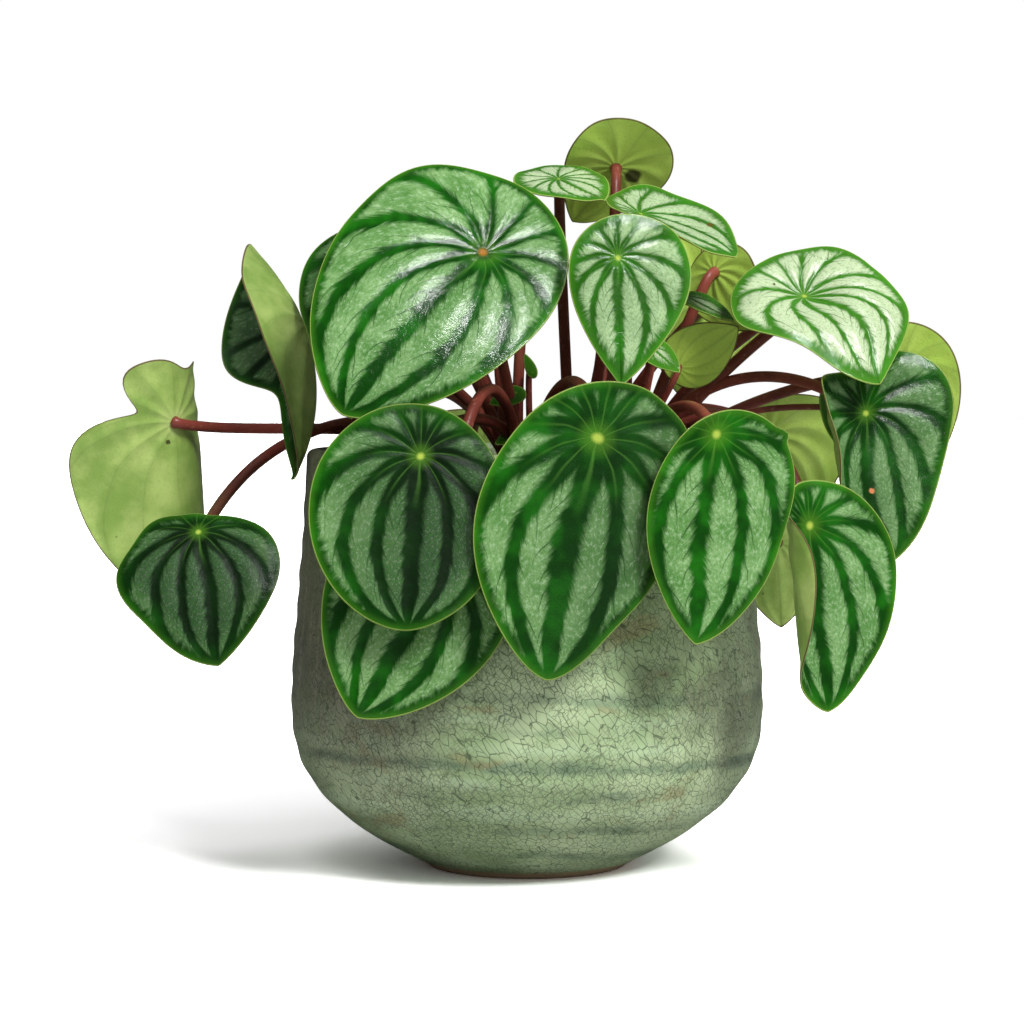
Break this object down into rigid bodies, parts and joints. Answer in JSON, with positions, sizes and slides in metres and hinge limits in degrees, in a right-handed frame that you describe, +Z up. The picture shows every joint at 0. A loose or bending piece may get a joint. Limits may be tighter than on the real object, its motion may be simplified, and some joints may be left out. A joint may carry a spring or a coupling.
{
  "type": "potted peperomia",
  "caption": "Potted peperomia with striped shield-shaped leaves on arching red-brown stems, in a round-bellied sage-green crackle-glazed pot.",
  "frame": {"origin": "centre of the pot's flat underside, on the surface that it stands on", "axes": "+Z up along the pot's axis, +X to the viewer's right in the picture, -Y towards the viewer"},
  "size_m": [0.3397, 0.2168, 0.2837],
  "materials": {
    "glaze": "sage-green crackle glaze",
    "soil": "matt peat-based potting soil",
    "stem": "smooth fleshy stem, satin",
    "leaf": "dark green veins on silver-green, waxy gloss above and matt pale green below",
    "young_leaf": "fresh green, waxy gloss"
  },
  "bodies": {
    "root": {"pot": "glaze", "soil": "soil", "crown_left": "stem", "crown_right": "stem", "crown_back": "stem", "leaf_upper_left_large": "leaf", "leaf_upper_left_rear": "leaf", "leaf_left_folded": "leaf", "leaf_far_left_cupped": "leaf", "leaf_far_left_low": "leaf", "leaf_front_left": "leaf", "leaf_front_left_low": "leaf", "leaf_front_centre": "leaf", "leaf_front_right": "leaf", "leaf_upper_centre": "leaf", "leaf_top_left": "leaf", "leaf_top_upright": "leaf", "leaf_top_right": "leaf", "leaf_top_rear": "leaf", "leaf_right_rear_small": "leaf", "leaf_upper_right": "leaf", "leaf_right_large": "leaf", "leaf_right_low": "leaf", "leaf_far_right": "leaf", "leaf_right_over_rim": "leaf", "leaf_right_hanging": "leaf", "leaf_centre_rear": "leaf", "leaf_young_pointed": "young_leaf", "leaf_young_small": "young_leaf", "leaf_young_folded": "young_leaf", "leaf_right_inner": "young_leaf", "leaf_back_left": "leaf", "leaf_back_right": "leaf", "leaf_back_far_left": "leaf", "leaf_back_upper_left": "leaf", "leaf_back_upper": "leaf", "leaf_back_upper_right": "leaf"}
  },
  "joints": []
}
